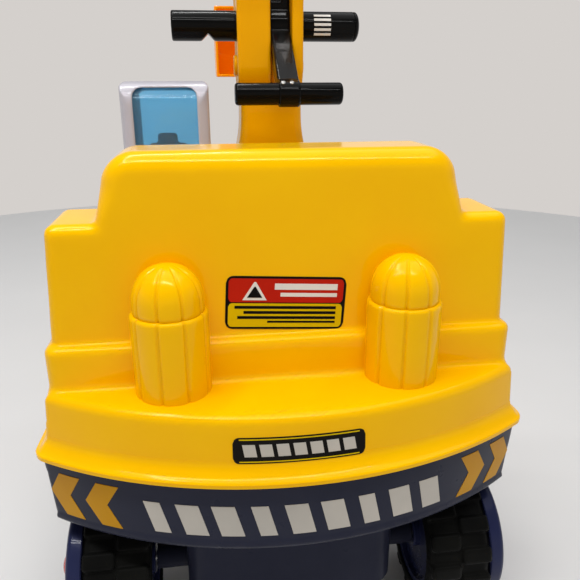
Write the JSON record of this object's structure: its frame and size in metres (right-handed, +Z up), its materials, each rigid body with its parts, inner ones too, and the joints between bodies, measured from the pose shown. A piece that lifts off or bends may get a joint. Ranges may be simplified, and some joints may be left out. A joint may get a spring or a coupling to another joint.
{
  "type": "ride-on toy digger",
  "caption": "Ride-on toy digger: wheeled base, swivelling yellow house with seat and cab, tilting boom with T-lever linkage and bucket.",
  "frame": {"origin": "on the floor, at the middle of the whole outline seen from above", "axes": "+Z up, -Y towards the bucket (forwards), +X to the digger's own left"},
  "size_m": [0.34, 0.654, 0.64],
  "materials": {
    "blue_grey_plastic": "satin",
    "white_nylon": "satin",
    "steel": "bright zinc",
    "tyre_black": "moulded, low sheen",
    "red_plastic": "gloss",
    "yellow_gloss_plastic": "high gloss",
    "amber_plastic": "gloss",
    "orange_plastic": "gloss",
    "pale_cab_plastic": "gloss",
    "blue_clear_plastic": "clear gloss",
    "navy_plastic": "satin",
    "black_plastic": "gloss"
  },
  "bodies": {
    "chassis": {"chassis_shell": "blue_grey_plastic", "chassis_bottom_plate": "blue_grey_plastic", "chassis_plate_screws": "steel", "front_axle": "steel", "rear_axle": "steel", "axle_spacers": "blue_grey_plastic", "axle_push_nuts": "steel", "turntable_lower_ring": "blue_grey_plastic", "turntable_wear_ring": "white_nylon", "swivel_kingpin": "steel", "kingpin_washer": "steel", "kingpin_nut": "steel"},
    "wheel_front_left": {"tyre_front_left": "tyre_black", "wheel_disc_front_left": "blue_grey_plastic", "hub_cap_front_left": "red_plastic"},
    "wheel_front_right": {"tyre_front_right": "tyre_black", "wheel_disc_front_right": "blue_grey_plastic", "hub_cap_front_right": "red_plastic"},
    "wheel_rear_left": {"tyre_rear_left": "tyre_black", "wheel_disc_rear_left": "blue_grey_plastic", "hub_cap_rear_left": "red_plastic"},
    "wheel_rear_right": {"tyre_rear_right": "tyre_black", "wheel_disc_rear_right": "blue_grey_plastic", "hub_cap_rear_right": "red_plastic"},
    "house": {"turntable_upper_ring": "blue_grey_plastic", "swivel_bush": "white_nylon", "lower_tray": "blue_grey_plastic", "upper_cover": "yellow_gloss_plastic", "cover_screws": "steel", "boom_post": "amber_plastic", "cab_frame": "pale_cab_plastic", "cab_glazing": "blue_clear_plastic", "cab_seat": "navy_plastic"},
    "boom": {"boom_left_half": "amber_plastic", "boom_right_half": "amber_plastic", "boom_screws": "steel", "boom_pivot_pin": "steel", "boom_pivot_caps": "amber_plastic", "lift_bar": "black_plastic", "lift_bar_end_caps": "black_plastic", "stick_pivot_pin": "steel", "link_rear_pin": "steel"},
    "t_lever": {"t_lever_arm": "black_plastic", "t_lever_grip": "black_plastic", "rod_rear_pin": "steel"},
    "rod": {"push_rod": "red_plastic"},
    "stick_arm": {"stick": "amber_plastic", "rod_front_pin": "steel", "bucket_pivot_pin": "steel"},
    "scoop": {"bucket": "orange_plastic", "link_front_pin": "steel"},
    "link": {"bucket_link": "black_plastic"}
  },
  "joints": [
    {"name": "house_swivel", "type": "hinge", "parent": "chassis", "child": "house", "pos_m": [0, 0.11885, 0.114], "axis": [0, 0, 1], "continuous": true},
    {"name": "wheel_front_left_spin", "type": "hinge", "parent": "chassis", "child": "wheel_front_left", "pos_m": [0.126, -0.00915, 0.055], "axis": [1, 0, 0], "continuous": true},
    {"name": "wheel_front_right_spin", "type": "hinge", "parent": "chassis", "child": "wheel_front_right", "pos_m": [-0.126, -0.00915, 0.055], "axis": [1, 0, 0], "continuous": true},
    {"name": "wheel_rear_left_spin", "type": "hinge", "parent": "chassis", "child": "wheel_rear_left", "pos_m": [0.126, 0.24685, 0.055], "axis": [1, 0, 0], "continuous": true},
    {"name": "wheel_rear_right_spin", "type": "hinge", "parent": "chassis", "child": "wheel_rear_right", "pos_m": [-0.126, 0.24685, 0.055], "axis": [1, 0, 0], "continuous": true},
    {"name": "boom_tilt", "type": "hinge", "parent": "house", "child": "boom", "pos_m": [-0.034, -0.06315, 0.415], "axis": [1, 0, 0], "range_deg": [0, 45]},
    {"name": "lever_swing", "type": "hinge", "parent": "boom", "child": "t_lever", "pos_m": [-0.034, -0.06915, 0.4545], "axis": [1, 0, 0], "range_deg": [0, 25]},
    {"name": "rod_pivot", "type": "hinge", "parent": "t_lever", "child": "rod", "pos_m": [-0.034, -0.06115, 0.4945], "axis": [1, 0, 0], "range_deg": [-26, 1]},
    {"name": "stick_swing", "type": "hinge", "parent": "boom", "child": "stick_arm", "pos_m": [-0.034, -0.24115, 0.592], "axis": [1, 0, 0], "range_deg": [-1, 26]},
    {"name": "bucket_pivot", "type": "hinge", "parent": "stick_arm", "child": "scoop", "pos_m": [-0.034, -0.27115, 0.506], "axis": [1, 0, 0], "range_deg": [-26, 1]},
    {"name": "link_pivot", "type": "hinge", "parent": "boom", "child": "link", "pos_m": [-0.034, -0.27715, 0.588], "axis": [1, 0, 0], "range_deg": [-1, 26]}
  ],
  "couplings": [
    {"joint": "rod_pivot", "follows": "lever_swing", "ratio": -1},
    {"joint": "stick_swing", "follows": "lever_swing", "ratio": 1},
    {"joint": "bucket_pivot", "follows": "lever_swing", "ratio": -1},
    {"joint": "link_pivot", "follows": "lever_swing", "ratio": 1}
  ]
}
